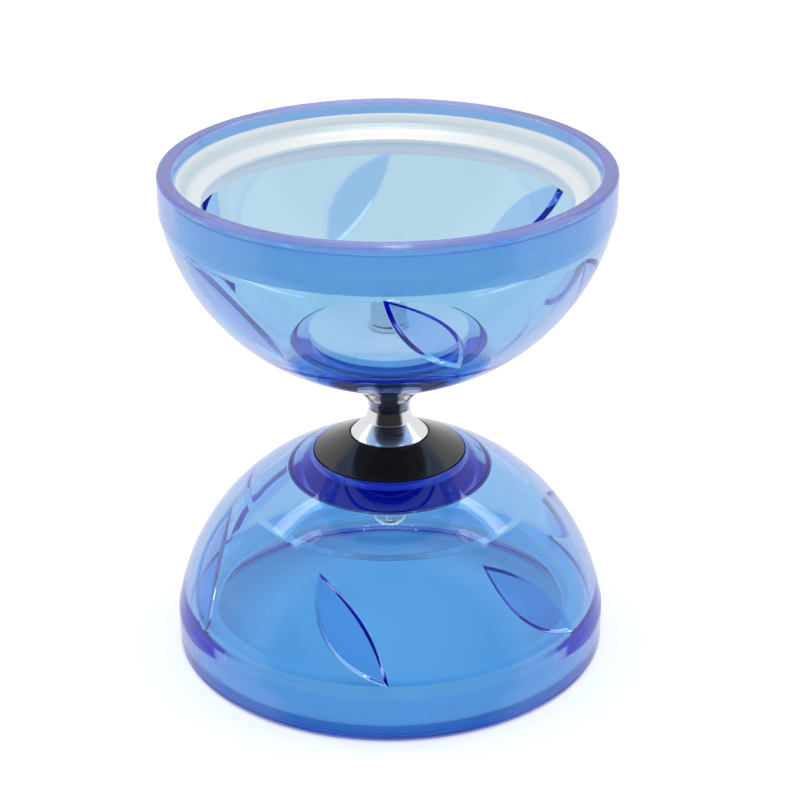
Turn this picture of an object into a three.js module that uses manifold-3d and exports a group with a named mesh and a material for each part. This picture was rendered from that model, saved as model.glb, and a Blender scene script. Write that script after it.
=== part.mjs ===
// A free-spinning diabolo: two clear cups bolted on one axle, with a bearing spool between them.
// Millimetres, +Z up along the axle, origin at the centre of the lower rim's plane.
// Each half is drawn upwards from the middle plane: r is the distance from the axle, h the height
// above the middle plane. The lower half is the same half turned over.
import * as THREE from 'three';
import { mergeVertices } from 'three/addons/utils/BufferGeometryUtils.js';
import Module from 'manifold-3d';

const wasm = await Module();
wasm.setup();

// Overall size
const HEIGHT = 144;
const DIAMETER = 125;
const HALF_HEIGHT = HEIGHT / 2;
const RIM_RADIUS = DIAMETER / 2;

// Cup wall: a cone near the hub that runs into an arc centred in the rim's plane
const ARC_CENTRE_R = 1.8;
const ARC_RADIUS = 61.5;
const CONE_ANGLE = 27;
const WALL = 3;
const RIM_INNER_RADIUS = 58.3;
const BAND_HEIGHT = 11.8;
const RIM_CHAMFER = 0.7;
const BAND_LEAD = 0.4;
const SHOULDER_RADIUS = 40.6;
const SHOULDER_STEP = 1.2;
const SHOULDER_BLEND = 1;
const BOSS_RADIUS = 27;
const BOSS_TOP = 21.8;
const HUB_EDGE_BREAK = 0.25;

// Black cone let into the cup's hub
const RECESS_RADIUS = 21.9;
const RECESS_FLOOR = 17;
const BLACK_CONE_RADIUS = 21.6;
const BLACK_CONE_TOP = 16.8;
const FLARE_POCKET_RADIUS = 11.35;
const FLARE_POCKET_FLOOR = 8.9;
const FLARE_POCKET_BREAK = 0.4;

// Moulded leaves on the cup's inner face
const LEAF_COUNT = 6;
const LEAF_PHASE = 11;
const LOWER_HALF_TURN = -2;
const LEAF_THICKNESS = 1.3;
const LEAF_ANGLE = 61.5;
const LEAF_RIM_TIP = new THREE.Vector2(-12.2, 12.9);
const LEAF_HUB_TIP = new THREE.Vector2(9.9, -15.1);
const LEAF_OUTER_BULGE = 5.9;
const LEAF_INNER_BULGE = 5;
const LEAF_BLOCK_REACH = 7;
const LEAF_OVERLAP = 1;
const PAD_ANGLE_LOW = 40;
const PAD_ANGLE_HIGH = 84;

// White ring inside the rim, with a groove, a ridge and a skirt, and the white plate on the boss
const RING_OUTER_RADIUS = 58;
const RING_TOP = 68.6;
const RING_BOTTOM = 57.6;
const RING_INNER_RADIUS = 50.9;
const RING_MOUTH_RADIUS = 57.3;
const RING_GROOVE = [[56, 66.3], [54.9, 65], [54.4, 64.8]];
const RING_RIDGE = [[53.6, 64.2], [51.8, 63.2]];
const RING_RIDGE_TOP = 62.4;
const RING_RIDGE_FOOT = 61.6;
const SKIRT_TOP = 62.7;
const SKIRT_STEP = 61.3;
const SKIRT_OUTER_RADIUS = 57.2;
const SKIRT_INNER_RADIUS = 52.4;
const PLATE_RADIUS = 22.9;
const PLATE_BOTTOM = 21.9;
const PLATE_TOP = 24.2;

// String cones: the polished spool that the string runs in
const SEAM_GAP = 0.12;
const SEAM_EDGE = [0.15, 0.2];
const SPOOL_BORE = 5.05;
const WAIST_RADIUS = 5.9;
const NECK_RADIUS = 6.65;
const NECK_TOP = 3.4;
const NECK_BLEND = [0.35, 0.45];
const FLARE_RADIUS = 11;
const FLARE_TOP = 7.75;
const SPOOL_END = 8.5;

// Axle, nuts and lock washers, M6
const AXLE_RADIUS = 2.9;
const AXLE_HALF_LENGTH = 34;
const BORE_RADIUS = 3.2;
const WASHER_RADIUS = 5.7;
const WASHER_BOTTOM = 24.3;
const WASHER_TOP = 25.6;
const WASHER_SPLIT = 0.8;
const WASHER_SPLIT_LEAN = 20;
const NUT_ACROSS_FLATS = 10;
const NUT_BOTTOM = 25.7;
const NUT_HEX_TOP = 35;
const NUT_DOME_RADIUS = 4.6;
const NUT_DOME_HEIGHT = 3;
const NUT_DOME_FOOT = 0.4;
const NUT_DOME_STEPS = [40, 70];
const NUT_DOME_SUNK = 1;
const BORE_END_GAP = 0.3;

// Three 6 x 10 x 3 bearings in the spool, with spacers between them
const BEARING_PITCH = 5.6;
const BEARING_WIDTH = 3;
const RACE_BORE = 3.1;
const INNER_RACE_RADIUS = 3.65;
const OUTER_RACE_BORE = 4.35;
const RACE_RADIUS = 4.9;
const GROOVE_DEPTH = 0.25;
const GROOVE_HALF_WIDTH = 0.55;
const SHIELD_BOTTOM = 1.1;
const SHIELD_TOP = 1.35;
const SHIELD_INNER_GAP = 0.12;
const SHIELD_OUTER_GAP = 0.15;
const CAGE_HALF_WALL = 0.15;
const CAGE_HALF_WIDTH = 0.75;
const BALL_CIRCLE = 4;
const BALL_RADIUS = 0.5;
const BALL_COUNT = 7;
const END_GAP = 0.1;
const INNER_SPACER_RADIUS = 3.8;
const OUTER_SPACER_BORE = 4.4;
const END_SPACER_RADIUS = 4.2;

// Facets round each kind of piece
const CUP_FACETS = 36;
const HUB_FACETS = 32;
const BEARING_FACETS = 16;

const RAD = Math.PI / 180;

function material(colour, roughness, metalness) {
  return new THREE.MeshStandardMaterial({ color: colour, roughness, metalness });
}

const clearBlue = () => material(0x4a98e0, 0.08, 0);
const whitePlastic = () => material(0xf0f4f4, 0.4, 0);
const blackPlastic = () => material(0x16161a, 0.2, 0);
const chrome = () => material(0xd8dade, 0.08, 1);
const steel = () => material(0xb4b8bc, 0.3, 1);
const brass = () => material(0xb89a5a, 0.35, 1);

// A full turn of a closed (r, h) outline about the Z axis.
function turned(outline, facets) {
  const points = outline.map(([r, h]) => new THREE.Vector2(r, h));
  points.push(points[0].clone());
  if (THREE.ShapeUtils.area(points) < 0) points.reverse();
  return new THREE.LatheGeometry(points, facets).rotateX(Math.PI / 2);
}

// Points of an arc about the cup's arc centre, at slope angles from the horizontal.
function wallArc(radius, fromAngle, toAngle, steps) {
  const points = [];
  for (let i = 0; i <= steps; i++) {
    const angle = (fromAngle + ((toAngle - fromAngle) * i) / steps) * RAD;
    points.push([ARC_CENTRE_R + radius * Math.sin(angle), HALF_HEIGHT - radius * Math.cos(angle)]);
  }
  return points;
}

// The slope angle at which an arc of the wall is at distance r from the axle.
function wallAngle(radius, r) {
  return Math.asin((r - ARC_CENTRE_R) / radius) / RAD;
}

// Height of the hub's straight cone at distance r from the axle.
function coneHeight(r) {
  const [[startR, startH]] = wallArc(ARC_RADIUS, CONE_ANGLE, CONE_ANGLE, 1);
  return startH - (startR - r) * Math.tan(CONE_ANGLE * RAD);
}

function toSolid(geometry) {
  const bare = geometry.clone();
  bare.deleteAttribute('normal');
  bare.deleteAttribute('uv');
  const merged = mergeVertices(bare, 1e-4);
  return new wasm.Manifold(new wasm.Mesh({
    numProp: 3,
    vertProperties: merged.attributes.position.array,
    triVerts: new Uint32Array(merged.index.array),
  }));
}

function toGeometry(solid) {
  const mesh = solid.getMesh();
  const geometry = new THREE.BufferGeometry();
  geometry.setAttribute('position', new THREE.BufferAttribute(mesh.vertProperties, 3));
  geometry.setIndex(new THREE.BufferAttribute(mesh.triVerts, 1));
  geometry.computeVertexNormals();
  return geometry;
}

function leafShape() {
  const chord = LEAF_HUB_TIP.clone().sub(LEAF_RIM_TIP).normalize();
  const across = new THREE.Vector2(-chord.y, chord.x);
  const middle = LEAF_RIM_TIP.clone().add(LEAF_HUB_TIP).multiplyScalar(0.5);
  const outer = middle.clone().addScaledVector(across, 2 * LEAF_OUTER_BULGE);
  const inner = middle.clone().addScaledVector(across, -2 * LEAF_INNER_BULGE);
  const shape = new THREE.Shape();
  shape.moveTo(LEAF_RIM_TIP.x, LEAF_RIM_TIP.y);
  shape.quadraticCurveTo(inner.x, inner.y, LEAF_HUB_TIP.x, LEAF_HUB_TIP.y);
  shape.quadraticCurveTo(outer.x, outer.y, LEAF_RIM_TIP.x, LEAF_RIM_TIP.y);
  return shape;
}

// One leaf: a lens-shaped block through the wall, kept only where it stands on the inner face.
function leafSolid(index, padShell) {
  const radius = ARC_RADIUS - WALL;
  const block = new THREE.ExtrudeGeometry(leafShape(), {
    depth: 2 * LEAF_BLOCK_REACH, bevelEnabled: false, curveSegments: 5,
  });
  block.translate(0, 0, -LEAF_BLOCK_REACH);
  const azimuth = (LEAF_PHASE + (360 / LEAF_COUNT) * index - 90) * RAD;
  const slope = LEAF_ANGLE * RAD;
  const outward = new THREE.Vector3(Math.cos(azimuth), Math.sin(azimuth), 0);
  const sideways = new THREE.Vector3(-Math.sin(azimuth), Math.cos(azimuth), 0);
  const upWall = outward.clone().multiplyScalar(Math.cos(slope));
  upWall.z = Math.sin(slope);
  const frame = new THREE.Matrix4();
  frame.makeBasis(sideways, upWall, sideways.clone().cross(upWall));
  const middle = outward.clone().multiplyScalar(ARC_CENTRE_R + radius * Math.sin(slope));
  middle.z = HALF_HEIGHT - radius * Math.cos(slope);
  frame.setPosition(middle);
  block.applyMatrix4(frame);
  return toSolid(block).intersect(padShell);
}

function cupGeometry() {
  const inside = ARC_RADIUS - WALL;
  const thick = inside - SHOULDER_STEP;
  const bandFoot = HALF_HEIGHT - BAND_HEIGHT;
  const bandStart = Math.acos(BAND_HEIGHT / ARC_RADIUS) / RAD;
  const thickStart = wallAngle(thick, SHOULDER_RADIUS - SHOULDER_BLEND);
  const outline = [
    [BORE_RADIUS, RECESS_FLOOR],
    [RECESS_RADIUS, RECESS_FLOOR],
    [RECESS_RADIUS, coneHeight(RECESS_RADIUS) + HUB_EDGE_BREAK],
    [RECESS_RADIUS + HUB_EDGE_BREAK, coneHeight(RECESS_RADIUS + HUB_EDGE_BREAK)],
    ...wallArc(ARC_RADIUS, CONE_ANGLE, bandStart - BAND_LEAD, 7),
    [RIM_RADIUS, bandFoot],
    [RIM_RADIUS, HALF_HEIGHT - RIM_CHAMFER],
    [RIM_RADIUS - RIM_CHAMFER, HALF_HEIGHT],
    [RIM_INNER_RADIUS + RIM_CHAMFER, HALF_HEIGHT],
    [RIM_INNER_RADIUS, HALF_HEIGHT - RIM_CHAMFER],
    ...wallArc(inside, wallAngle(inside, RIM_INNER_RADIUS), wallAngle(inside, SHOULDER_RADIUS), 4),
    ...wallArc(thick, thickStart, wallAngle(thick, BOSS_RADIUS), 2),
    [BOSS_RADIUS, BOSS_TOP],
    [BORE_RADIUS, BOSS_TOP],
  ];
  const padOuter = wallArc(inside + LEAF_OVERLAP, PAD_ANGLE_LOW, PAD_ANGLE_HIGH, 4);
  const padInner = wallArc(inside - LEAF_THICKNESS, PAD_ANGLE_HIGH, PAD_ANGLE_LOW, 5);
  const padShell = toSolid(turned([...padOuter, ...padInner], CUP_FACETS));
  let cup = toSolid(turned(outline, CUP_FACETS));
  for (let i = 0; i < LEAF_COUNT; i++) cup = cup.add(leafSolid(i, padShell));
  return toGeometry(cup);
}

function whiteRingGeometry() {
  return turned([
    [SKIRT_OUTER_RADIUS, RING_BOTTOM],
    [SKIRT_OUTER_RADIUS, SKIRT_TOP],
    [RING_OUTER_RADIUS, SKIRT_TOP],
    [RING_OUTER_RADIUS, RING_TOP],
    [RING_MOUTH_RADIUS, RING_TOP],
    ...RING_GROOVE,
    ...RING_RIDGE,
    [RING_INNER_RADIUS, RING_RIDGE_TOP],
    [RING_INNER_RADIUS, RING_RIDGE_FOOT],
    [SKIRT_INNER_RADIUS, SKIRT_STEP],
    [SKIRT_INNER_RADIUS, RING_BOTTOM],
  ], CUP_FACETS);
}

function hubPlateGeometry() {
  return turned([
    [BORE_RADIUS, PLATE_BOTTOM],
    [PLATE_RADIUS, PLATE_BOTTOM],
    [PLATE_RADIUS, PLATE_TOP],
    [BORE_RADIUS, PLATE_TOP],
  ], HUB_FACETS);
}

function blackConeGeometry() {
  const pocketEdge = FLARE_POCKET_RADIUS + FLARE_POCKET_BREAK;
  return turned([
    [BORE_RADIUS, FLARE_POCKET_FLOOR],
    [FLARE_POCKET_RADIUS, FLARE_POCKET_FLOOR],
    [FLARE_POCKET_RADIUS, coneHeight(FLARE_POCKET_RADIUS) + FLARE_POCKET_BREAK],
    [pocketEdge, coneHeight(pocketEdge)],
    [BLACK_CONE_RADIUS, coneHeight(BLACK_CONE_RADIUS)],
    [BLACK_CONE_RADIUS, BLACK_CONE_TOP],
    [BORE_RADIUS, BLACK_CONE_TOP],
  ], HUB_FACETS);
}

function stringConeGeometry() {
  return turned([
    [SPOOL_BORE, SEAM_GAP],
    [WAIST_RADIUS - SEAM_EDGE[0], SEAM_GAP],
    [WAIST_RADIUS, SEAM_GAP + SEAM_EDGE[1]],
    [NECK_RADIUS, NECK_TOP],
    [NECK_RADIUS + NECK_BLEND[0], NECK_TOP + NECK_BLEND[1]],
    [FLARE_RADIUS, FLARE_TOP],
    [FLARE_RADIUS, SPOOL_END],
    [SPOOL_BORE, SPOOL_END],
  ], HUB_FACETS);
}

// A plain ring between two heights, for spacers and shields.
function ringGeometry(bore, radius, bottom, top) {
  return turned([[bore, bottom], [radius, bottom], [radius, top], [bore, top]], BEARING_FACETS);
}

function axleGeometry() {
  return new THREE.CylinderGeometry(AXLE_RADIUS, AXLE_RADIUS, 2 * AXLE_HALF_LENGTH, BEARING_FACETS)
    .rotateX(Math.PI / 2);
}

function lockWasherGeometry() {
  const ring = toSolid(ringGeometry(BORE_RADIUS, WASHER_RADIUS, WASHER_BOTTOM, WASHER_TOP));
  const split = new THREE.BoxGeometry(WASHER_RADIUS, WASHER_SPLIT, WASHER_RADIUS)
    .rotateX(WASHER_SPLIT_LEAN * RAD)
    .translate(WASHER_RADIUS, 0, WASHER_BOTTOM);
  return toGeometry(ring.subtract(toSolid(split)));
}

function capNutGeometry() {
  const corner = NUT_ACROSS_FLATS / 2 / Math.cos(30 * RAD);
  const hexHeight = NUT_HEX_TOP - NUT_BOTTOM;
  const hex = new THREE.CylinderGeometry(corner, corner, hexHeight, 6)
    .rotateX(Math.PI / 2)
    .translate(0, 0, NUT_BOTTOM + hexHeight / 2);
  const domeRow = (angle) => [
    NUT_DOME_RADIUS * Math.cos(angle * RAD),
    NUT_HEX_TOP + NUT_DOME_HEIGHT * Math.sin(angle * RAD),
  ];
  const dome = turned([
    [0, NUT_HEX_TOP - NUT_DOME_SUNK],
    [NUT_DOME_RADIUS, NUT_HEX_TOP - NUT_DOME_SUNK],
    [NUT_DOME_RADIUS, NUT_HEX_TOP + NUT_DOME_FOOT],
    ...NUT_DOME_STEPS.map(domeRow),
    [0, NUT_HEX_TOP + NUT_DOME_HEIGHT],
  ], BEARING_FACETS);
  const boreTop = AXLE_HALF_LENGTH + BORE_END_GAP;
  const boreLength = 2 * (boreTop - NUT_BOTTOM);
  const bore = new THREE.CylinderGeometry(BORE_RADIUS, BORE_RADIUS, boreLength, BEARING_FACETS)
    .rotateX(Math.PI / 2)
    .translate(0, 0, NUT_BOTTOM);
  return toGeometry(toSolid(hex).add(toSolid(dome)).subtract(toSolid(bore)));
}

// A race with its ball groove: the groove cuts into the side that faces the balls.
function raceGeometry(plainRadius, grooveRadius, farRadius) {
  const half = BEARING_WIDTH / 2;
  return turned([
    [farRadius, -half],
    [plainRadius, -half],
    [plainRadius, -GROOVE_HALF_WIDTH],
    [grooveRadius, -GROOVE_DEPTH],
    [grooveRadius, GROOVE_DEPTH],
    [plainRadius, GROOVE_HALF_WIDTH],
    [plainRadius, half],
    [farRadius, half],
  ], BEARING_FACETS);
}

function ballCageGeometry() {
  const inner = BALL_CIRCLE - CAGE_HALF_WALL;
  const outer = BALL_CIRCLE + CAGE_HALF_WALL;
  let cage = toSolid(ringGeometry(inner, outer, -CAGE_HALF_WIDTH, CAGE_HALF_WIDTH));
  for (let i = 0; i < BALL_COUNT; i++) {
    const angle = (360 / BALL_COUNT) * i * RAD;
    const ball = new THREE.SphereGeometry(BALL_RADIUS, 6, 4)
      .translate(BALL_CIRCLE * Math.cos(angle), BALL_CIRCLE * Math.sin(angle), 0);
    cage = cage.add(toSolid(ball));
  }
  return toGeometry(cage);
}

function part(name, geometry, look) {
  const mesh = new THREE.Mesh(geometry, look);
  mesh.name = name;
  return mesh;
}

// Every piece of one half, drawn above the middle plane.
function buildHalf(side) {
  const half = new THREE.Group();
  const spacerTop = BEARING_PITCH - BEARING_WIDTH / 2 - END_GAP;
  const spacerBottom = BEARING_WIDTH / 2 + END_GAP;
  const endBottom = BEARING_PITCH + BEARING_WIDTH / 2 + END_GAP;
  const endTop = FLARE_POCKET_FLOOR - END_GAP;
  half.add(
    part(`${side}_cup`, cupGeometry(), clearBlue()),
    part(`${side}_white_ring`, whiteRingGeometry(), whitePlastic()),
    part(`${side}_hub_plate`, hubPlateGeometry(), whitePlastic()),
    part(`${side}_black_cone`, blackConeGeometry(), blackPlastic()),
    part(`${side}_string_cone`, stringConeGeometry(), chrome()),
    part(`${side}_lock_washer`, lockWasherGeometry(), steel()),
    part(`${side}_cap_nut`, capNutGeometry(), steel()),
    part(`${side}_inner_spacer`,
      ringGeometry(RACE_BORE, INNER_SPACER_RADIUS, spacerBottom, spacerTop), steel()),
    part(`${side}_outer_spacer`,
      ringGeometry(OUTER_SPACER_BORE, RACE_RADIUS, spacerBottom, spacerTop), steel()),
    part(`${side}_end_spacer`,
      ringGeometry(RACE_BORE, END_SPACER_RADIUS, endBottom, endTop), steel()),
  );
  return half;
}

// One bearing about its own centre: two races, the caged balls and two shields.
function buildBearing(place) {
  const bearing = new THREE.Group();
  const innerGroove = INNER_RACE_RADIUS - GROOVE_DEPTH;
  const outerGroove = OUTER_RACE_BORE + GROOVE_DEPTH;
  const shieldBore = INNER_RACE_RADIUS + SHIELD_INNER_GAP;
  const shieldRadius = OUTER_RACE_BORE - SHIELD_OUTER_GAP;
  const shield = () => ringGeometry(shieldBore, shieldRadius, SHIELD_BOTTOM, SHIELD_TOP);
  const lowerShield = part(`${place}_bearing_lower_shield`, shield(), steel());
  lowerShield.rotation.x = Math.PI;
  bearing.add(
    part(`${place}_bearing_inner_race`,
      raceGeometry(INNER_RACE_RADIUS, innerGroove, RACE_BORE), steel()),
    part(`${place}_bearing_outer_race`,
      raceGeometry(OUTER_RACE_BORE, outerGroove, RACE_RADIUS), steel()),
    part(`${place}_bearing_ball_cage`, ballCageGeometry(), brass()),
    part(`${place}_bearing_upper_shield`, shield(), steel()),
    lowerShield,
  );
  return bearing;
}

const diabolo = new THREE.Group();
const middle = new THREE.Group();
middle.position.z = HALF_HEIGHT;
diabolo.add(middle);

middle.add(buildHalf('upper'));
const lowerHalf = buildHalf('lower');
lowerHalf.rotation.x = Math.PI;
const lowerTurn = new THREE.Group();
lowerTurn.rotation.z = LOWER_HALF_TURN * RAD;
lowerTurn.add(lowerHalf);
middle.add(lowerTurn);

['lower', 'middle', 'upper'].forEach((place, index) => {
  const bearing = buildBearing(place);
  bearing.position.z = (index - 1) * BEARING_PITCH;
  middle.add(bearing);
});

middle.add(part('axle', axleGeometry(), steel()));

export default diabolo;
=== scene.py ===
"""A clear blue free-spinning diabolo on a white sweep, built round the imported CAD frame.

Each half is drawn upwards from the middle plane, in millimetres: r is the distance from the axle,
h the height above the middle plane. place_half() carries a finished mesh to the upper or lower half.
"""
import math

import bmesh
import bpy
from mathutils import Matrix, Vector
from mathutils.geometry import delaunay_2d_cdt


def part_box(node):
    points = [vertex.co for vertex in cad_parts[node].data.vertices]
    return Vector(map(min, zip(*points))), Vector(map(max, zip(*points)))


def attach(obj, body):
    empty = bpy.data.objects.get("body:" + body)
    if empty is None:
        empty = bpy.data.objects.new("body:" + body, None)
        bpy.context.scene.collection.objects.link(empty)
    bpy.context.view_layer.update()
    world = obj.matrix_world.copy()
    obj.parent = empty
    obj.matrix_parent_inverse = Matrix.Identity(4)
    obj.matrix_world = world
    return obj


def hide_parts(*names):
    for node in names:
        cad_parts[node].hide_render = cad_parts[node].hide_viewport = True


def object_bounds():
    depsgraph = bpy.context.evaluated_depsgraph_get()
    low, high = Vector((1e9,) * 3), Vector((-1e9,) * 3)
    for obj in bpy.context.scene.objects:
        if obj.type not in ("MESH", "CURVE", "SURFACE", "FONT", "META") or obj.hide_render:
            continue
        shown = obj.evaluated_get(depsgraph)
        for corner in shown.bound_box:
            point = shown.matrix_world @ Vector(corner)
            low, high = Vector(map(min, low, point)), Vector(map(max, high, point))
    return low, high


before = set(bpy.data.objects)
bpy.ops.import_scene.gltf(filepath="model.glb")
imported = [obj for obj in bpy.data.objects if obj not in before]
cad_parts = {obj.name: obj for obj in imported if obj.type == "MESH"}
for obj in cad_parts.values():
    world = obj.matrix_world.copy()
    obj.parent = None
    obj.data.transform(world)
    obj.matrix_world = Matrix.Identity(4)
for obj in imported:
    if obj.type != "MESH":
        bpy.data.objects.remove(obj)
CAD_LOW, CAD_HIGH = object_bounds()

# ---------------------------------------------------------------- sizes
MM = 0.001
MIDDLE_Z = (CAD_LOW.z + CAD_HIGH.z) / 2
HALF = (CAD_HIGH.z - CAD_LOW.z) / 2 / MM
RIM_R = (CAD_HIGH.x - CAD_LOW.x) / 2 / MM


def cad_radius(node):
    """Largest distance of a CAD node from the axle, in mm."""
    low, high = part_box(node)
    return max(high.x, high.y, -low.x, -low.y) / MM


def cad_heights(node):
    """Lowest and highest height of an upper CAD node above the middle plane, in mm."""
    low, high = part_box(node)
    return (low.z - MIDDLE_Z) / MM, (high.z - MIDDLE_Z) / MM


RING_R = cad_radius("upper_white_ring")
RING_BOTTOM, RING_TOP = cad_heights("upper_white_ring")

# Cup wall: a cone near the hub that runs into an arc centred in the rim's plane.
ARC_CENTRE_R = 1.8
ARC_RADIUS = 61.5
CONE_ANGLE = 27.0
WALL = 3.0
RIM_INNER_R = 58.3
BAND_HEIGHT = 11.8
BAND_FILLET = 8.0
SHOULDER_R = 40.6
SHOULDER_STEP = 0.35
SHOULDER_RUN = 1.6
SHOULDER_FILLET = 1.6
BOSS_R = 27.0
BOSS_TOP = 21.8
BORE_R = 3.2
RECESS_R = 21.9
RECESS_FLOOR = 17.0

# Leaves. A tip is (degrees round the axle from the leaf's middle, slope angle of the wall there).
LEAF_COUNT = 6
LEAF_PHASE = 11.0
LOWER_HALF_TURN = -2.0
LEAF_THICKNESS = 1.6
LEAF_RIM_TIP = (-12.4, 75.1)
LEAF_HUB_TIP = (12.8, 46.6)
LEAF_MIDDLE_SLOPE = 60.0
LEAF_OUTER_BULGE = 6.3
LEAF_INNER_BULGE = 5.2
LEAF_SIDE_STEPS = 40
SECTOR = 360.0 / LEAF_COUNT

# The white ring's mouth: (distance in from its radius, depth below its top, fillet), down to the ridge.
RING_MOUTH = (
    (0.0, 0.0, 0.35), (0.7, 0.0, 0.4), (2.1, 2.4, 1.2), (3.1, 3.5, 0.6),
    (3.8, 3.8, 0.5), (4.6, 4.5, 0.8), (7.1, 5.8, 0.7),
)
RING_SKIRT_OUTER = RING_R - 0.8
RING_SKIRT_INNER = RING_R - 5.6
RING_SKIRT_HEIGHT = 4.0
RING_SLOPE_TOP = 7.5
# Where the painted shade in the white ring's groove is deepest, and how far it reaches.
SHADED_GROOVE_R = RING_R - 2.6
SHADED_GROOVE_HALF_WIDTH = 1.6

NUT_FLATS = 10.0
LATHE_STEPS = 192
NUT_STEPS = 96
WASHER_STEPS = 90
WELD_GAP = 1e-4
SAME_POINT = 1e-6
SHARP_ANGLE = math.radians(24)

# Tints of the clear plastic where light crosses its surface, and how clear it is there. The rim's and the
# recess's are painted light, the bore's and the boss's painted shade.
WALL_TINT = (0.68, 0.98, 1.0)
PAD_TINT = (0.36, 0.72, 0.98)
# Painted shade: a violet band on the boss's side, which stands for light reflected inside the thick boss.
BOSS_PAINTED_SHADE = (0.30, 0.22, 0.75)
# Painted shade: the bore is tinted near-black indigo, which hides the axle in dark.
BORE_PAINTED_SHADE = (0.02, 0.01, 0.20)
# Painted light: the rim's top is lavender and part diffuse, so it reads brighter than the clear wall.
RIM_PAINTED_LIGHT = (0.36, 0.43, 0.80)
STRIP_TINT = (0.16, 0.40, 0.78)
# Painted light: the recess floor is an almost opaque blue sheet, which stands for light seen through the
# base and hides the black cone.
RECESS_PAINTED_LIGHT = (0.16, 0.15, 0.75)
RECESS_PAINTED_LIGHT_CLEAR = 0.1
RIM_PAINTED_LIGHT_CLEAR = 0.62

# Where the tints and the painted marks start or end: the rim's top, the strip above the white ring, the
# bore, the boss's side.
RIM_EDGE = 1.1
RIM_FADE = 0.4
STRIP_FADE = 0.5
CORE_R = 4.2
BOSS_SHADE_EDGE = 0.8
BOSS_SHADE_LOW = 19.0
BOSS_SHADE_HIGH = 21.5
HAIR = 0.01

# Painted shade in the white ring's groove: how much red, green and blue the white plastic loses there.
GROOVE_PAINTED_SHADE = (0.38, 0.24, 0.19)


# ---------------------------------------------------------------- outlines
def wall_point(radius, angle):
    """A point of an arc about the wall's centre, at a slope angle from the horizontal."""
    a = math.radians(angle)
    return ARC_CENTRE_R + radius * math.sin(a), HALF - radius * math.cos(a)


def wall_arc(radius, start, end, steps):
    """Points of that arc between two slope angles."""
    return [wall_point(radius, start + (end - start) * i / steps) for i in range(steps + 1)]


def wall_angle(radius, r):
    """Slope angle of that arc at distance r from the axle."""
    return math.degrees(math.asin((r - ARC_CENTRE_R) / radius))


def cone_height(r):
    """Height of the hub's straight cone at distance r from the axle."""
    start_r, start_h = wall_point(ARC_RADIUS, CONE_ANGLE)
    return start_h - (start_r - r) * math.tan(math.radians(CONE_ANGLE))


def smooth_outline(corners, closed=True, steps=4):
    """Rounds the corners of an outline. A corner is (r, h) or (r, h, fillet radius).

    Returns (r, h, normal r, normal h) tuples. The solid is on the left of the outline.
    """
    points = [Vector(c[:2]) for c in corners]
    fillets = [c[2] if len(c) > 2 else 0.0 for c in corners]
    count = len(points)
    made = []
    for i, point in enumerate(points):
        if not closed and i in (0, count - 1):
            along = (points[1] - point) if i == 0 else (point - points[i - 1])
            along.normalize()
            made.append((point.x, point.y, along.y, -along.x))
            continue
        before = (point - points[i - 1]).normalized()
        after = (points[(i + 1) % count] - point).normalized()
        turn = math.atan2(before.x * after.y - before.y * after.x, before.dot(after))
        if fillets[i] <= 0:
            normal = (Vector((before.y, -before.x)) + Vector((after.y, -after.x))).normalized()
            made.append((point.x, point.y, normal.x, normal.y))
            continue
        reach = fillets[i] * math.tan(abs(turn) / 2)
        start = point - before * reach
        side = 1 if turn > 0 else -1
        centre = start + Vector((-before.y, before.x)) * fillets[i] * side
        for k in range(steps + 1):
            a = turn * k / steps
            out = Vector((before.y, -before.x))
            out = Vector((out.x * math.cos(a) - out.y * math.sin(a),
                          out.x * math.sin(a) + out.y * math.cos(a)))
            spot = centre + out * fillets[i] * side
            made.append((spot.x, spot.y, out.x, out.y))
    return made


# ---------------------------------------------------------------- mesh building
def new_bmesh():
    """A mesh with room for its exact normals and its plastic's tint, which also carries painted light and
    painted shade.
    """
    bm = bmesh.new()
    bm.verts.layers.float_vector.new("normal_out")
    bm.verts.layers.float_color.new("tint_and_painted_light")
    return bm


def add_lathe(bm, outline, tint_and_painted_light_at, closed=True, phase=0.0):
    """Turns an outline about the axle into bm, in mm. Faces point out of the solid."""
    layer = bm.verts.layers.float_vector["normal_out"]
    tint_and_painted_light_layer = bm.verts.layers.float_color["tint_and_painted_light"]
    columns = []
    for s in range(LATHE_STEPS):
        a = math.radians(phase) + 2 * math.pi * s / LATHE_STEPS
        ca, sa = math.cos(a), math.sin(a)
        column = []
        for r, h, nr, nh in outline:
            vert = bm.verts.new((r * ca, r * sa, h))
            vert[layer] = (nr * ca, nr * sa, nh)
            vert[tint_and_painted_light_layer] = tint_and_painted_light_at(r, h)
            column.append(vert)
        columns.append(column)
    rows = len(outline) if closed else len(outline) - 1
    for s in range(LATHE_STEPS):
        here, there = columns[s], columns[(s + 1) % LATHE_STEPS]
        for i in range(rows):
            j = (i + 1) % len(outline)
            bm.faces.new((here[i], there[i], there[j], here[j]))


def link_mesh(name, mesh, material):
    """Adds a mesh to the scene as an object with one material."""
    mesh.materials.append(material)
    obj = bpy.data.objects.new(name, mesh)
    bpy.context.scene.collection.objects.link(obj)
    return obj


def finish_mesh(bm, name, matrix, material, weld=False):
    """Makes the object of a bmesh drawn in mm, with its own exact normals, at its place in the frame."""
    if weld:
        bmesh.ops.remove_doubles(bm, verts=bm.verts, dist=WELD_GAP)
    layer = bm.verts.layers.float_vector["normal_out"]
    bm.verts.ensure_lookup_table()
    turn = matrix.to_3x3()
    normals = [(turn @ Vector(v[layer])).normalized() for v in bm.verts]
    mesh = bpy.data.meshes.new(name)
    bm.verts.layers.float_vector.remove(layer)
    bm.to_mesh(mesh)
    bm.free()
    mesh.transform(matrix @ Matrix.Scale(MM, 4))
    mesh.polygons.foreach_set("use_smooth", [True] * len(mesh.polygons))
    mesh.normals_split_custom_set_from_vertices(normals)
    mesh.update()
    return link_mesh(name, mesh, material)


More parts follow.
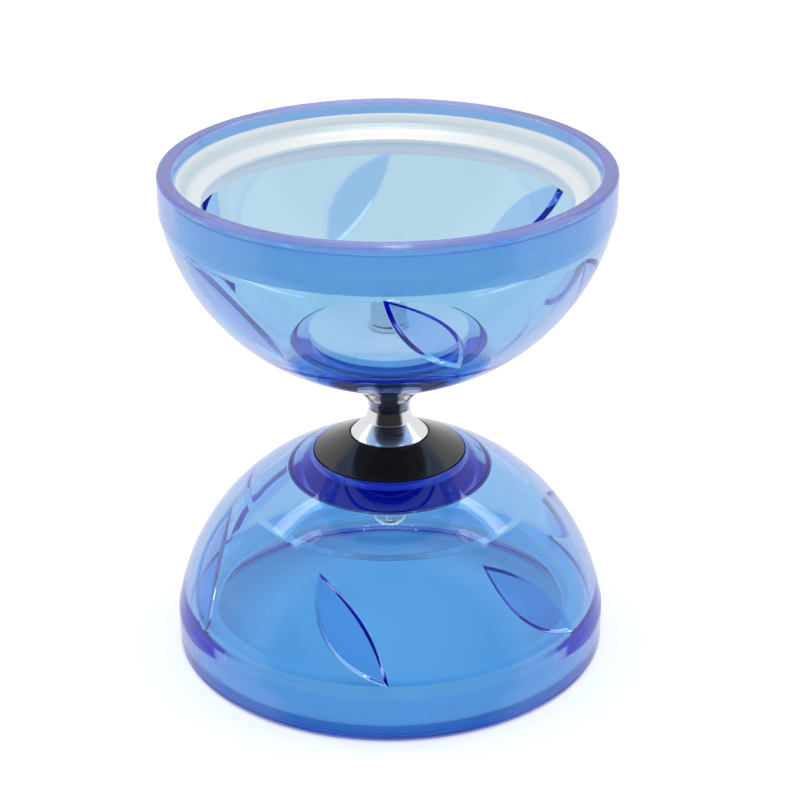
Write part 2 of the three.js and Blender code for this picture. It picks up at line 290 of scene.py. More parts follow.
def half_matrix(side):
    """Carries a piece from the middle plane's heights to its half in the frame."""
    middle = Matrix.Translation((0, 0, MIDDLE_Z))
    if side == "upper":
        return middle
    turn = Matrix.Rotation(math.radians(LOWER_HALF_TURN), 4, "Z")
    return middle @ turn @ Matrix.Rotation(math.pi, 4, "X")


def place_half(piece, side, node, body):
    """The piece stands for that CAD node of one half and rides on its body."""
    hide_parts(f"{side}_{node}")
    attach(piece, body)


def plain_tone(_r, _h):
    """No tint: the material's own colour all over."""
    return (1, 1, 1, 1)


def turned_piece(name, side, outline, material, node, body, tint_and_painted_light_at=plain_tone):
    """A round piece of one half, turned from its section."""
    bm = new_bmesh()
    add_lathe(bm, outline, tint_and_painted_light_at)
    piece = finish_mesh(bm, name, half_matrix(side), material)
    place_half(piece, side, node, body)


# ---------------------------------------------------------------- leaves on the cup's inner face
INNER_ARC = ARC_RADIUS - WALL
SHOULDER_ANGLE = wall_angle(INNER_ARC, SHOULDER_R)
RIM_ANGLE = wall_angle(INNER_ARC, RIM_INNER_R)
# The patch with a leaf starts a little above the shoulder and ends on the straight part of the wall.
PATCH_START = SHOULDER_ANGLE + 1.0
PATCH_END = RIM_ANGLE + 1.2
PATCH_ROWS = 18
GRID_CLEARANCE = 0.8

# The patch plane is the inner wall laid flat, in mm: x runs round it and y up its slope.
# These are the lengths of one degree round the axle, at the leaves' middle, and of one degree of slope.
ROUND_MM = math.radians(wall_point(INNER_ARC, LEAF_MIDDLE_SLOPE)[0])
SLOPE_MM = math.radians(INNER_ARC)


def inner_wall(angle):
    """Point and inward normal of the inner wall. Past the rim angle the wall runs straight up."""
    if angle <= RIM_ANGLE:
        r, h = wall_point(INNER_ARC, angle)
        a = math.radians(angle)
        return r, h, -math.sin(a), math.cos(a)
    r, h = wall_point(INNER_ARC, RIM_ANGLE)
    return r, h + (angle - RIM_ANGLE) * SLOPE_MM, -1.0, 0.0


def leaf_loop(inset):
    """One closed loop of points round the leaf, inset from its outline, in the patch plane.

    Each side is a parabola over the chord from tip to tip, with its points closer near the tips.
    """
    rim = Vector((LEAF_RIM_TIP[0] * ROUND_MM, LEAF_RIM_TIP[1] * SLOPE_MM))
    hub = Vector((LEAF_HUB_TIP[0] * ROUND_MM, LEAF_HUB_TIP[1] * SLOPE_MM))
    chord = (hub - rim).normalized()
    across = Vector((-chord.y, chord.x))
    tip_angle = math.atan(2 * (LEAF_OUTER_BULGE + LEAF_INNER_BULGE) / (hub - rim).length)
    shift = inset / math.sin(tip_angle)
    rim, hub = rim + chord * shift, hub - chord * shift
    loop = []
    for bulge, start, end in ((-LEAF_INNER_BULGE, rim, hub), (LEAF_OUTER_BULGE, hub, rim)):
        depth = bulge - math.copysign(1, bulge) * inset
        for i in range(LEAF_SIDE_STEPS):
            t = (1 - math.cos(math.pi * i / LEAF_SIDE_STEPS)) / 2
            loop.append(start.lerp(end, t) + across * depth * 4 * t * (1 - t))
    return loop


# Distance into the leaf from its outline, and the pad's height there.
LEAF_PROFILE = (
    (-0.16, 0.0), (-0.02, 0.05), (0.12, 0.20), (0.45, 0.64), (0.78, 1.08),
    (1.02, 1.40), (1.16, 1.54), (1.32, 1.60),
)


class Patch:
    """The points of the patch plane, each with the wall's height there and the slope of that height."""

    def __init__(self):
        self.spots, self.heights, self.slopes = [], [], []
        self.edges = []

    def put(self, x, y, height=0.0, slope=(0.0, 0.0)):
        """Adds a point and returns its number."""
        self.spots.append(Vector((x, y)))
        self.heights.append(height)
        self.slopes.append(slope)
        return len(self.spots) - 1

    def close(self, ids):
        """Keeps the closed line through those points as edges."""
        self.edges += list(zip(ids, ids[1:] + ids[:1]))

    def add_border(self, grid_x, grid_y):
        """The patch's border, with the points that the lathe and the next patch have there."""
        low, high = grid_y[0], grid_y[-1]
        border = [self.put(x, low) for x in grid_x]
        border += [self.put(grid_x[-1], y) for y in grid_y[1:]]
        border += [self.put(x, high) for x in reversed(grid_x[:-1])]
        border += [self.put(grid_x[0], y) for y in reversed(grid_y[1:-1])]
        self.close(border)

    def add_leaf(self, loops):
        """The leaf's loops, with the slope that the profile has at each of them."""
        last = len(LEAF_PROFILE) - 1
        for k, (loop, (_, height)) in enumerate(zip(loops, LEAF_PROFILE)):
            steep = 0.0
            if 0 < k < last:
                lower, upper = LEAF_PROFILE[k - 1], LEAF_PROFILE[k + 1]
                steep = (upper[1] - lower[1]) / (upper[0] - lower[0])
            ids = []
            for i, spot in enumerate(loop):
                tangent = (loop[(i + 1) % len(loop)] - loop[i - 1]).normalized()
                inward = Vector((-tangent.y, tangent.x))
                ids.append(self.put(spot.x, spot.y, height, tuple(inward * steep)))
            self.close(ids)

    def add_grid(self, grid_x, grid_y, outer, inner):
        """The grid's own points, outside the leaf and on its pad, clear of the leaf's edge."""
        for x in grid_x[1:-1]:
            for y in grid_y[1:-1]:
                spot = Vector((x, y))
                gap = min((spot - p).length for p in outer + inner)
                on_pad = inside_loop(spot, inner)
                on_edge = inside_loop(spot, outer) and not on_pad
                if gap >= GRID_CLEARANCE and not on_edge:
                    self.put(x, y, LEAF_THICKNESS if on_pad else 0.0)


def add_leaf_patch(bm, centre_angle):
    """One sixth of the inner wall, between the shoulder and the rim, with its leaf raised on it."""
    normal_layer = bm.verts.layers.float_vector["normal_out"]
    tint_and_painted_light_layer = bm.verts.layers.float_color["tint_and_painted_light"]
    columns = LATHE_STEPS // LEAF_COUNT
    width = SECTOR * ROUND_MM
    low, high = PATCH_START * SLOPE_MM, PATCH_END * SLOPE_MM
    grid_x = [-width / 2 + width * i / columns for i in range(columns + 1)]
    grid_y = [low + (high - low) * i / PATCH_ROWS for i in range(PATCH_ROWS + 1)]
    loops = [leaf_loop(inset) for inset, _ in LEAF_PROFILE]
    patch = Patch()
    patch.add_border(grid_x, grid_y)
    patch.add_leaf(loops)
    patch.add_grid(grid_x, grid_y, loops[0], loops[-1])

    spots, _, faces, sources, _, _ = delaunay_2d_cdt(patch.spots, patch.edges, [], 0, SAME_POINT)
    verts = []
    for spot, source in zip(spots, sources):
        height = patch.heights[source[0]] if source else 0.0
        slope = patch.slopes[source[0]] if source else (0.0, 0.0)
        a = math.radians(spot.x / ROUND_MM + centre_angle)
        r, h, nr, nh = inner_wall(spot.y / SLOPE_MM)
        radial = Vector((math.cos(a), math.sin(a), 0))
        round_wall = Vector((-math.sin(a), math.cos(a), 0))
        up_wall = Vector((radial.x * nh, radial.y * nh, -nr))
        out = radial * nr + Vector((0, 0, nh))
        vert = bm.verts.new(radial * r + Vector((0, 0, h)) + out * height)
        vert[normal_layer] = (out - round_wall * slope[0] - up_wall * slope[1]).normalized()
        vert[tint_and_painted_light_layer] = (*leaf_tint(height), 1)
        verts.append(vert)
    for face in faces:
        corners = [verts[i] for i in face]
        made = bm.faces.new(corners)
        made.normal_update()
        if made.normal.dot(Vector(corners[0][normal_layer])) < 0:
            made.normal_flip()


def leaf_tint(height):
    """The plastic's tint at that height of a leaf: plain wall at its foot, deeper at the pad's top."""
    share = height / LEAF_THICKNESS
    return tuple(low + (high - low) * share for low, high in zip(WALL_TINT, PAD_TINT))


def inside_loop(spot, loop):
    """True if spot is inside the closed loop."""
    inside = False
    for a, b in zip(loop, loop[1:] + loop[:1]):
        if (a.y > spot.y) != (b.y > spot.y):
            if spot.x < (b.x - a.x) * (spot.y - a.y) / (b.y - a.y) + a.x:
                inside = not inside
    return inside


def cup_outline():
    """The cup's section without the leaf patch, open at both ends.

    It runs from the patch's hub side over the boss, the recess and the outside to its rim side.
    """
    fillet_room, boss_room = 2.0, 2.4
    thick = INNER_ARC - SHOULDER_STEP
    step_foot = wall_angle(thick, SHOULDER_R - SHOULDER_RUN)
    floor_start = wall_angle(thick, SHOULDER_R - SHOULDER_RUN - fillet_room)
    floor_end = wall_angle(thick, BOSS_R + boss_room)
    boss_foot = wall_point(thick, wall_angle(thick, BOSS_R))[1]
    band_foot = HALF - BAND_HEIGHT
    band_angle = math.degrees(math.acos(BAND_HEIGHT / ARC_RADIUS))
    below_rim = HALF - RIM_EDGE - RIM_FADE
    return [
        wall_point(INNER_ARC, PATCH_START),
        (*wall_point(INNER_ARC, SHOULDER_ANGLE), SHOULDER_FILLET),
        (*wall_point(thick, step_foot), SHOULDER_FILLET),
        *wall_arc(thick, floor_start, floor_end, steps=8),
        (BOSS_R, boss_foot, 1.2),
        (BOSS_R, BOSS_TOP, 1.0),
        (CORE_R, BOSS_TOP),
        (BORE_R, BOSS_TOP, 0.2),
        (BORE_R, RECESS_FLOOR, 0.2),
        (CORE_R, RECESS_FLOOR),
        (RECESS_R, RECESS_FLOOR, 0.3),
        (RECESS_R, cone_height(RECESS_R), 0.22),
        *wall_arc(ARC_RADIUS, CONE_ANGLE, band_angle - 1.5, steps=30),
        (RIM_R, band_foot + 1.0, BAND_FILLET),
        (RIM_R, below_rim),
        (RIM_R, HALF, 1.0),
        (RIM_INNER_R, HALF, 0.7),
        (RIM_INNER_R, below_rim),
        (RIM_INNER_R, RING_TOP),
        (RIM_INNER_R, RING_TOP - STRIP_FADE),
        inner_wall(PATCH_END)[:2],
    ]


def cup_tint_and_painted_light(r, h):
    """The plastic's tint, with painted light and shade: painted light on the rim top and the recess, painted
    shade in the bore and on the boss's side, and the tint of the strip above the white ring and of the plain
    wall.
    """
    # Painted light on the rim's top: lavender, and part diffuse.
    if h > HALF - RIM_EDGE:
        return (*RIM_PAINTED_LIGHT, RIM_PAINTED_LIGHT_CLEAR)
    if h > RING_TOP - HAIR and r < RIM_INNER_R + HAIR:
        return (*STRIP_TINT, 1)
    # Painted light on the recess floor: an almost opaque blue sheet.
    if h < RECESS_FLOOR + HAIR and CORE_R - HAIR < r < RECESS_R + HAIR:
        return (*RECESS_PAINTED_LIGHT, RECESS_PAINTED_LIGHT_CLEAR)
    # Painted shade in the bore: near-black indigo.
    if r < CORE_R:
        return (*BORE_PAINTED_SHADE, 1)
    # Painted shade on the boss's side: a violet band.
    if BOSS_R - BOSS_SHADE_EDGE < r < BOSS_R + BOSS_SHADE_EDGE and BOSS_SHADE_LOW < h < BOSS_SHADE_HIGH:
        return (*BOSS_PAINTED_SHADE, 1)
    return (*WALL_TINT, 1)


def build_cup(side, material):
    """A cup: its turned section and its six leaf patches, welded into one solid."""
    bm = new_bmesh()
    outline = smooth_outline(cup_outline(), closed=False)
    outline[0], outline[-1] = inner_wall(PATCH_START), inner_wall(PATCH_END)
    front_leaf = LEAF_PHASE - 90
    add_lathe(bm, outline, cup_tint_and_painted_light, closed=False, phase=front_leaf - SECTOR / 2)
    for i in range(LEAF_COUNT):
        add_leaf_patch(bm, front_leaf + SECTOR * i)
    piece = finish_mesh(bm, f"{side}_clear_cup", half_matrix(side), material, weld=True)
    place_half(piece, side, "cup", "cups")


# ---------------------------------------------------------------- hub and ring outlines
def white_ring_outline():
    """The ring's section: a bevelled mouth, a groove, a ridge and a skirt behind the ridge."""
    mouth = [(RING_R - inset, RING_TOP - depth, fillet) for inset, depth, fillet in RING_MOUTH]
    ridge_r = mouth[-1][0]
    return smooth_outline([
        (RING_SKIRT_OUTER - 0.5, RING_BOTTOM, 0.3),
        (RING_SKIRT_OUTER, RING_BOTTOM + RING_SKIRT_HEIGHT, 3.0),
        (RING_R, RING_BOTTOM + RING_SLOPE_TOP, 3.0),
        *mouth,
        (ridge_r, RING_BOTTOM + RING_SKIRT_HEIGHT, 0.35),
        (RING_SKIRT_INNER, RING_BOTTOM + RING_SKIRT_HEIGHT - 0.3, 0.3),
        (RING_SKIRT_INNER, RING_BOTTOM, 0.3),
    ])


def ring_groove_painted_shade(r, _h):
    """Painted shade: white, but greyer and bluer in the ring's groove."""
    share = max(0.0, 1.0 - abs(r - SHADED_GROOVE_R) / SHADED_GROOVE_HALF_WIDTH)
    return tuple(1.0 - share * depth for depth in GROOVE_PAINTED_SHADE) + (1,)


def hub_plate_outline():
    """The round plate's section: flat, with a rounded upper edge."""
    radius = cad_radius("upper_hub_plate")
    bottom, top = cad_heights("upper_hub_plate")
    return smooth_outline([
        (BORE_R, bottom, 0.1),
        (radius, bottom, 0.1),
        (radius, top, 0.35),
        (BORE_R, top, 0.15),
    ])


def black_cone_outline():
    """The black cone's section: in line with the cup's cone, with a pocket for the string cone."""
    radius = cad_radius("upper_black_cone")
    top = cad_heights("upper_black_cone")[1]
    pocket, floor = 11.35, 8.9
    return smooth_outline([
        (BORE_R, floor, 0.1),
        (pocket, floor, 0.2),
        (pocket, cone_height(pocket), 0.28),
        (radius, cone_height(radius), 0.25),
        (radius, top, 0.2),
        (BORE_R, top, 0.1),
    ])


def string_cone_outline():
    """The string cone's section: a hollow turned neck that flares out to the black cone."""
    radius = cad_radius("upper_string_cone")
    bottom, top = cad_heights("upper_string_cone")
    bore, waist, neck, neck_top, flare_top = 5.05, 5.9, 6.65, 3.5, 7.8
    return smooth_outline([
        (bore, bottom, 0.05),
        (waist, bottom, 0.14),
        (neck, neck_top, 1.0),
        (radius, flare_top, 0.16),
        (radius, top, 0.1),
        (bore, top, 0.1),
    ], steps=6)


def hex_radius(angle, across_flats):
    """Distance from the middle to a hexagon's side, in the direction of angle."""
    fold = (angle + math.pi / 6) % (math.pi / 3) - math.pi / 6
    return across_flats / 2 / math.cos(fold)


def cap_nut_rows():
    """The nut's section from the blind bore's end out and up to the dome, before the hexagon trims it.

    Returns the section's (r, h) points and the heights of the bore's end and the dome's top.
    """
    bottom, top = cad_heights("upper_cap_nut")
    bore, bore_top, lead_in = 3.1, 34.4, 0.3
    hex_top, dome_r, collar = bottom + 9.3, 4.6, 0.25
    dome_foot = hex_top + collar
    widest = NUT_FLATS / 2 / math.cos(math.pi / 6) + 0.02
    rows = [(bore, bore_top), (bore, bottom + lead_in), (bore + lead_in, bottom)]
    rows += [(4.75, bottom), (5.1, bottom + 0.16), (widest, bottom + 0.66)]
    rows += [(widest, hex_top - 0.7), (5.15, hex_top - 0.18), (4.8, hex_top)]
    rows += [(dome_r, hex_top), (dome_r, dome_foot)]
    for a in range(10, 90, 10):
        out, up = math.cos(math.radians(a)), math.sin(math.radians(a))
        rows.append((dome_r * out, dome_foot + (top - dome_foot) * up))
    return rows, bore_top, top


def build_cap_nut(side, material):
    """A domed cap nut: hexagonal, with its corners turned off to a cone at both ends."""
    rows, bore_top, top = cap_nut_rows()
    bm = bmesh.new()
    rings = []
    for r, h in rows:
        ring = []
        for s in range(NUT_STEPS):
            a = 2 * math.pi * s / NUT_STEPS
            reach = min(r, hex_radius(a, NUT_FLATS))
            ring.append(bm.verts.new((reach * math.cos(a), reach * math.sin(a), h)))
        rings.append(ring)
    for low, high in zip(rings, rings[1:]):
        for s in range(NUT_STEPS):
            t = (s + 1) % NUT_STEPS
            bm.faces.new((low[s], low[t], high[t], high[s]))
    for ring, h in ((rings[0], bore_top), (rings[-1], top)):
        middle = bm.verts.new((0, 0, h))
        for s in range(NUT_STEPS):
            t = (s + 1) % NUT_STEPS
            bm.faces.new((ring[s], ring[t], middle))
    bmesh.ops.recalc_face_normals(bm, faces=bm.faces)
    sharp_piece(bm, f"{side}_nut", side, material, "cap_nut", "cups")


def build_lock_washer(side, material):
    """A split spring washer: a square section swept almost round, its ends a little apart in height."""
    bottom, top = cad_heights("upper_lock_washer")
    outer, gap, lift, edge = cad_radius("upper_lock_washer"), 8.0, 0.25, 0.12
    section = smooth_outline([
        (BORE_R, bottom, edge), (outer, bottom, edge),
        (outer, top - lift, edge), (BORE_R, top - lift, edge),
    ], steps=2)
    bm = bmesh.new()
    rings = []
    for s in range(WASHER_STEPS + 1):
        a = math.radians(gap / 2 + (360 - gap) * s / WASHER_STEPS)
        rise = lift * s / WASHER_STEPS
        rings.append([bm.verts.new((r * math.cos(a), r * math.sin(a), h + rise))
                      for r, h, _, _ in section])
    for low, high in zip(rings, rings[1:]):
        for i in range(len(section)):
            j = (i + 1) % len(section)
            bm.faces.new((low[i], low[j], high[j], high[i]))
    bm.faces.new(rings[0])
    bm.faces.new(rings[-1])
    bmesh.ops.recalc_face_normals(bm, faces=bm.faces)
    sharp_piece(bm, f"{side}_spring_washer", side, material, "lock_washer", "cups")


def sharp_piece(bm, name, side, material, node, body):
    """A piece of one half with smooth shading and sharp edges kept sharp."""
    mesh = bpy.data.meshes.new(name)
    for edge in bm.edges:
        if len(edge.link_faces) == 2 and edge.calc_face_angle() > SHARP_ANGLE:
            edge.smooth = False
    for face in bm.faces:
        face.smooth = True
    bm.to_mesh(mesh)
    bm.free()
    mesh.transform(half_matrix(side) @ Matrix.Scale(MM, 4))
    place_half(link_mesh(name, mesh, material), side, node, body)


# ---------------------------------------------------------------- materials
class Shader:
    """A material's node tree, with short calls to add nodes and link them."""

    def __init__(self, name):
        self.material = bpy.data.materials.new(name)
        self.material.use_nodes = True
        self.tree = self.material.node_tree
        self.tree.nodes.clear()
        self.output = self.node("ShaderNodeOutputMaterial")
        self.principled = self.node("ShaderNodeBsdfPrincipled")
        self.link(self.principled.outputs[0], self.output.inputs["Surface"])
        self.coords = self.node("ShaderNodeTexCoord").outputs["Object"]

    def node(self, kind, **values):
        """A new node with those settings."""
        made = self.tree.nodes.new(kind)
        for key, value in values.items():
            setattr(made, key, value)
        return made

    def link(self, source, target):
        self.tree.links.new(source, target)

    def set(self, **values):
        """Sets constants of the principled shader, with _ for a space in a socket's name."""
        for key, value in values.items():
            self.principled.inputs[key.replace("_", " ")].default_value = value

    def noise(self, scale, detail=3.0, stretch=None):
        """Noise in the piece's own coordinates."""
        coords = self.coords
        if stretch:
            mapping = self.node("ShaderNodeMapping")
            mapping.inputs["Scale"].default_value = stretch
            self.link(coords, mapping.inputs["Vector"])
            coords = mapping.outputs[0]
        made = self.node("ShaderNodeTexNoise")
        made.inputs["Scale"].default_value = scale
        made.inputs["Detail"].default_value = detail
        self.link(coords, made.inputs["Vector"])
        return made.outputs["Fac"]

    def spread(self, source, low, high, source_low=0.35, source_high=0.65):
        """Maps source to a range of values."""
        made = self.node("ShaderNodeMapRange")
        made.inputs["From Min"].default_value = source_low
        made.inputs["From Max"].default_value = source_high
        made.inputs["To Min"].default_value = low
        made.inputs["To Max"].default_value = high
        self.link(source, made.inputs["Value"])
        return made.outputs[0]

    def blend(self, share, low, high):
        """A colour between low and high, by share."""
        made = self.node("ShaderNodeMix", data_type="RGBA")
        made.inputs["A"].default_value = (*low, 1)
        made.inputs["B"].default_value = (*high, 1)
        self.link(share, made.inputs["Factor"])
        return made.outputs["Result"]

    def bump(self, source, strength, distance):
        """Raises the surface by source, up to distance in metres."""
        made = self.node("ShaderNodeBump")
        made.inputs["Strength"].default_value = strength
        made.inputs["Distance"].default_value = distance
        self.link(source, made.inputs["Height"])
        self.link(made.outputs[0], self.principled.inputs["Normal"])


def clear_blue_material():
    """Tinted clear plastic: the surface gives a slim wall its pale cyan, and depth turns it indigo. Its tint
    attribute also carries painted light and painted shade.
    """
    shader = Shader("clear_blue_plastic")
    shader.set(IOR=1.49)
    # The attribute's colour and alpha carry the plastic's tints, and also the painted light and painted
    # shade of the rim, recess, bore and boss.
    tint = shader.node("ShaderNodeAttribute", attribute_name="tint_and_painted_light")
    shader.link(tint.outputs["Color"], shader.principled.inputs["Base Color"])
    shader.link(tint.outputs["Alpha"], shader.principled.inputs["Transmission Weight"])
    rough = shader.spread(shader.noise(scale=90.0), low=0.0, high=0.035)
    shader.link(rough, shader.principled.inputs["Roughness"])
    shader.bump(shader.noise(scale=55.0, detail=2.0), strength=0.12, distance=0.0002)
    volume = shader.node("ShaderNodeVolumeAbsorption")
    volume.inputs["Color"].default_value = (0.0, 0.10, 0.955, 1)
    volume.inputs["Density"].default_value = 62.0
    shader.link(volume.outputs[0], shader.output.inputs["Volume"])
    return shader.material


def white_plastic_material():
    """Satin white plastic, with a fine grain, and the painted shade that the piece's attribute gives it in
    the ring's groove.
    """
    shader = Shader("white_plastic")
    grain = shader.noise(scale=700.0, detail=4.0)
    cloud = shader.noise(scale=30.0, detail=2.0)
    colour = shader.blend(cloud, low=(0.86, 0.88, 0.89), high=(0.89, 0.91, 0.92))
    # Painted shade: the attribute makes the white greyer and bluer in the ring's groove.
    groove_shade = shader.node("ShaderNodeAttribute", attribute_name="tint_and_painted_light")
    product = shader.node("ShaderNodeMix", data_type="RGBA", blend_type="MULTIPLY")
    product.inputs["Factor"].default_value = 1.0
    shader.link(colour, product.inputs["A"])
    shader.link(groove_shade.outputs["Color"], product.inputs["B"])
    shader.link(product.outputs["Result"], shader.principled.inputs["Base Color"])
    shader.link(shader.spread(grain, low=0.34, high=0.46), shader.principled.inputs["Roughness"])
    shader.bump(grain, strength=0.08, distance=0.0001)
    return shader.material


def black_plastic_material():
    """Glossy black plastic."""
    shader = Shader("black_plastic")
    fine = shader.noise(scale=260.0, detail=4.0)
    cloud = shader.noise(scale=40.0)
    colour = shader.blend(cloud, low=(0.008, 0.008, 0.010), high=(0.014, 0.014, 0.017))
    shader.link(colour, shader.principled.inputs["Base Color"])
    shader.link(shader.spread(fine, low=0.09, high=0.17), shader.principled.inputs["Roughness"])
    shader.bump(fine, strength=0.05, distance=0.00006)
    shader.set(IOR=1.55)
    return shader.material


def turned_metal_material(name, colour, rough_low, rough_high):
    """Metal turned on a lathe: fine rings about the axle, as bump and as roughness."""
    round_scale, ring_scale, dull = 40.0, 9000.0, 0.95
    shader = Shader(name)
    shader.set(Metallic=1.0)
    rings = shader.noise(scale=1.0, detail=2.0, stretch=(round_scale, round_scale, ring_scale))
    shader.link(shader.spread(rings, rough_low, rough_high), shader.principled.inputs["Roughness"])
    tint = shader.blend(shader.noise(scale=60.0), low=tuple(c * dull for c in colour), high=colour)
    shader.link(tint, shader.principled.inputs["Base Color"])
    shader.bump(rings, strength=0.10, distance=0.00002)
    return shader.material


def floor_material():
    """A white sweep, burnt out where it is seen directly, as a studio lights it."""
    shader = Shader("white_sweep")
    colour = shader.blend(shader.noise(scale=2.0), low=(0.86, 0.86, 0.86), high=(0.88, 0.88, 0.88))
    shader.link(colour, shader.principled.inputs["Base Color"])
    shader.set(Roughness=0.6, Specular_IOR_Level=0.2, Emission_Color=(1, 1, 1, 1))
    seen = shader.node("ShaderNodeLightPath").outputs["Is Camera Ray"]
    glow = shader.spread(seen, low=0.0, high=0.35, source_low=0.0, source_high=1.0)
    shader.link(glow, shader.principled.inputs["Emission Strength"])
    return shader.material


# ---------------------------------------------------------------- the object
clear_blue = clear_blue_material()
white_plastic = white_plastic_material()
black_plastic = black_plastic_material()
chrome = turned_metal_material("polished_spool", (0.80, 0.81, 0.84), 0.08, 0.24)
zinc = turned_metal_material("zinc_plate", (0.72, 0.74, 0.77), 0.18, 0.32)
bearing_steel = turned_metal_material("bearing_steel", (0.62, 0.63, 0.66), 0.15, 0.25)
cage_brass = turned_metal_material("cage_brass", (0.74, 0.56, 0.28), 0.2, 0.35)

for side in ("upper", "lower"):
    build_cup(side, clear_blue)
    turned_piece(f"{side}_rim_ring", side, white_ring_outline(), white_plastic,
                 "white_ring", "cups", ring_groove_painted_shade)
    turned_piece(f"{side}_floor_plate", side, hub_plate_outline(), white_plastic,
                 "hub_plate", "cups")
    turned_piece(f"{side}_hub_cone", side, black_cone_outline(), black_plastic,
                 "black_cone", "cups")
    turned_piece(f"{side}_spool_cone", side, string_cone_outline(), chrome,
                 "string_cone", "spool")
    build_cap_nut(side, zinc)
    build_lock_washer(side, zinc)

# The CAD nodes that nothing stands for, the axle, bearings and spacers, are shown as they are.
for name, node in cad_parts.items():
    if node.hide_render:
        continue
    if name.endswith("_cage"):
        look = cage_brass
    elif "bearing" in name:
        look = bearing_steel
    else:
        look = zinc
    node.data.materials.clear()
    node.data.materials.append(look)


# ---------------------------------------------------------------- floor, light and camera
def build_floor():
    """The white surface that the object stands on, a hair below its rim."""
    bm = bmesh.new()
    reach, drop = 6.0, 0.0002
    corners = [bm.verts.new((x * reach, y * reach, CAD_LOW.z - drop))
               for x, y in ((-1, -1), (1, -1), (1, 1), (-1, 1))]
    bm.faces.new(corners)
    mesh = bpy.data.meshes.new("floor")
    bm.to_mesh(mesh)
    bm.free()
    floor = link_mesh("floor", mesh, floor_material())
    floor.visible_glossy = False


def add_strip(name, low, high, width, power):
    """A narrow soft light between two points, facing the object."""
    low, high = Vector(low), Vector(high)
    light = bpy.data.lights.new(name, "AREA")
    light.shape = "RECTANGLE"
    light.size, light.size_y = width, (high - low).length
    light.energy = power
    lamp = bpy.data.objects.new(name, light)
    place = (low + high) / 2
    back = (place - Vector((0, 0, MIDDLE_Z))).normalized()
    along = (high - low).normalized()
    across = along.cross(back).normalized()
    back = across.cross(along)
    turn = Matrix((across, along, back)).transposed().to_4x4()
    lamp.matrix_world = Matrix.Translation(place) @ turn
    lamp.visible_camera = False
    bpy.context.scene.collection.objects.link(lamp)


def add_ceiling_lamps():
    """Two rows of small square lamps over the object, which dot its edges with highlights."""
    count, spacing, height, size, power = 12, 0.036, 0.9, 0.012, 0.5
    for row, y in enumerate((-0.08, 0.06)):
        for i in range(count):
            x = (i - (count - 1) / 2) * spacing
            light = bpy.data.lights.new(f"ceiling_{row}_{i}", "AREA")
            light.shape = "SQUARE"
            light.size = size
            light.energy = power
            lamp = bpy.data.objects.new(light.name, light)
            lamp.location = (x, y, height)
            lamp.visible_camera = False
            lamp.visible_diffuse = False
            bpy.context.scene.collection.objects.link(lamp)


# The world's strength by the kind of ray that meets it. DARK_FRONT ramps what is mirrored, by world Y.
SEEN_STRENGTH = 1.0
THROUGH_STRENGTH = 1.07
LIGHTING_STRENGTH = 0.85
DARK_FRONT = {"From Min": -0.55, "From Max": -0.25, "To Min": 0.03, "To Max": 0.95}

# Light that has come through a cup at all slants, relative to light straight through it.
THROUGH_CUP = (0.13, 0.50, 0.84)


def build_world():
    """A white room. Only what mirrors it directly sees the dark side where the camera stands."""
    world = bpy.data.worlds.new("studio")
    bpy.context.scene.world = world
    world.use_nodes = True
    tree = world.node_tree
    tree.nodes.clear()
    output = tree.nodes.new("ShaderNodeOutputWorld")
    background = tree.nodes.new("ShaderNodeBackground")
    path = tree.nodes.new("ShaderNodeLightPath")
    coords = tree.nodes.new("ShaderNodeTexCoord")
    split = tree.nodes.new("ShaderNodeSeparateXYZ")
    tree.links.new(coords.outputs["Generated"], split.inputs[0])
    front = tree.nodes.new("ShaderNodeMapRange")
    front.interpolation_type = "SMOOTHSTEP"
    for key, value in DARK_FRONT.items():
        front.inputs[key].default_value = value
    tree.links.new(split.outputs["Y"], front.inputs["Value"])

    def choose(share, off, on, data_type="FLOAT"):
        """Gives off where share is 0 and on where it is 1: constants or other nodes' outputs."""
        mix = tree.nodes.new("ShaderNodeMix")
        mix.data_type = data_type
        tree.links.new(share, mix.inputs["Factor"])
        for socket, value in (("A", off), ("B", on)):
            if isinstance(value, (float, tuple)):
                mix.inputs[socket].default_value = value
            else:
                tree.links.new(value, mix.inputs[socket])
        return mix.outputs["Result"]

    strength = choose(path.outputs["Is Glossy Ray"], LIGHTING_STRENGTH, front.outputs[0])
    strength = choose(path.outputs["Is Transmission Ray"], strength, THROUGH_STRENGTH)
    strength = choose(path.outputs["Is Camera Ray"], strength, SEEN_STRENGTH)
    tree.links.new(strength, background.inputs["Strength"])
    scattered = tree.nodes.new("ShaderNodeMath")
    scattered.operation = "MULTIPLY"
    scattered.use_clamp = True
    tree.links.new(path.outputs["Diffuse Depth"], scattered.inputs[0])
    tree.links.new(path.outputs["Is Transmission Ray"], scattered.inputs[1])
    colour = choose(scattered.outputs[0], (1.0, 1.0, 1.0, 1.0), (*THROUGH_CUP, 1.0), "RGBA")
    tree.links.new(colour, background.inputs["Color"])
    tree.links.new(background.outputs[0], output.inputs["Surface"])


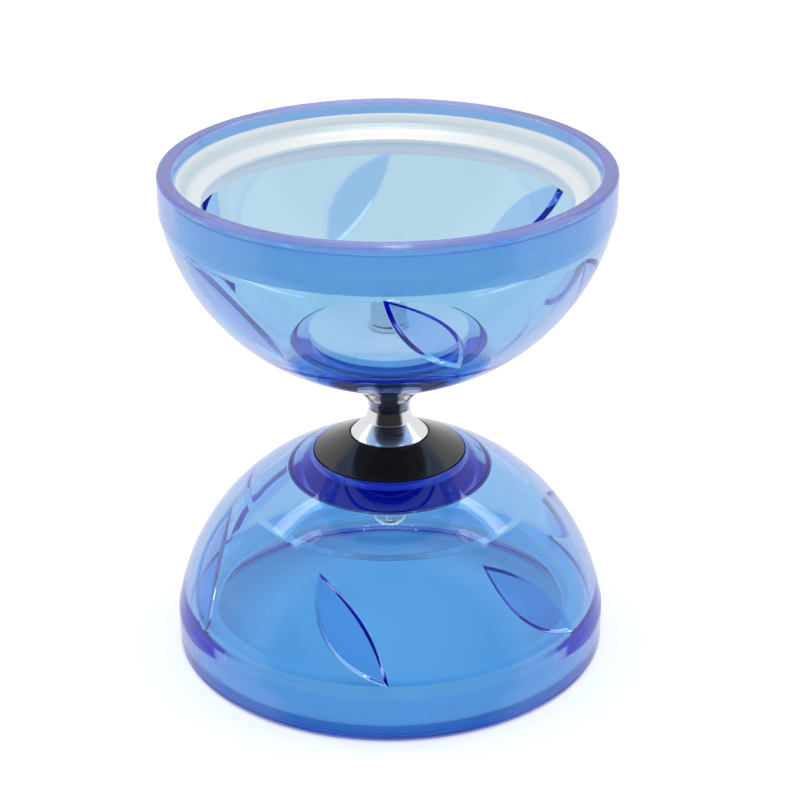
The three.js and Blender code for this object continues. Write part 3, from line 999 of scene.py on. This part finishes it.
def build_camera():
    """The photograph's view: 25 degrees down from the front, the object a little left and low."""
    lens, distance, elevation = 94.9, 0.6008, math.radians(25.12)
    aim_right, aim_up, roll = math.radians(0.292), math.radians(0.153), -0.0037
    centre = (CAD_LOW + CAD_HIGH) / 2
    ahead = Vector((0, math.cos(elevation), -math.sin(elevation)))
    right = Vector((1, 0, 0))
    place = centre - ahead * distance
    ahead = ahead * math.cos(aim_right) + right * math.sin(aim_right)
    right = ahead.cross(Vector((0, 0, 1))).normalized()
    up = right.cross(ahead)
    ahead = ahead * math.cos(aim_up) + up * math.sin(aim_up)
    up = right.cross(ahead)
    turned_right = right * math.cos(roll) + up * math.sin(roll)
    turned_up = up * math.cos(roll) - right * math.sin(roll)
    camera = bpy.data.objects.new("camera", bpy.data.cameras.new("camera"))
    bpy.context.scene.collection.objects.link(camera)
    camera.data.lens = lens
    camera.data.sensor_width = 36.0
    camera.data.clip_start = 0.01
    turn = Matrix((turned_right, turned_up, -ahead)).transposed().to_4x4()
    camera.matrix_world = Matrix.Translation(place) @ turn
    bpy.context.scene.camera = camera


# The strips at each side of the object: (name, low end, high end, width, power), ends as (y, z).
STRIP_X = 0.6
STRIPS = (
    ("high", (0.16, 0.50), (0.45, 1.05), 0.12, 0.9),
    ("side", (0.0, 0.60), (0.0, 1.0), 0.06, 0.25),
)

build_floor()
build_world()
for side, sign in (("left", -1), ("right", 1)):
    for name, low, high, width, power in STRIPS:
        add_strip(f"{side}_{name}_strip", (sign * STRIP_X, *low), (sign * STRIP_X, *high), width, power)
add_ceiling_lamps()
build_camera()

# A ray crosses many clear walls on its way through both cups.
CLEAR_BOUNCES = 40
scene = bpy.context.scene
scene.view_settings.view_transform = "Standard"
scene.cycles.use_denoising = True
scene.cycles.max_bounces = CLEAR_BOUNCES
scene.cycles.transmission_bounces = CLEAR_BOUNCES
scene.cycles.glossy_bounces = CLEAR_BOUNCES
scene.cycles.diffuse_bounces = 5
scene.cycles.blur_glossy = 0.0
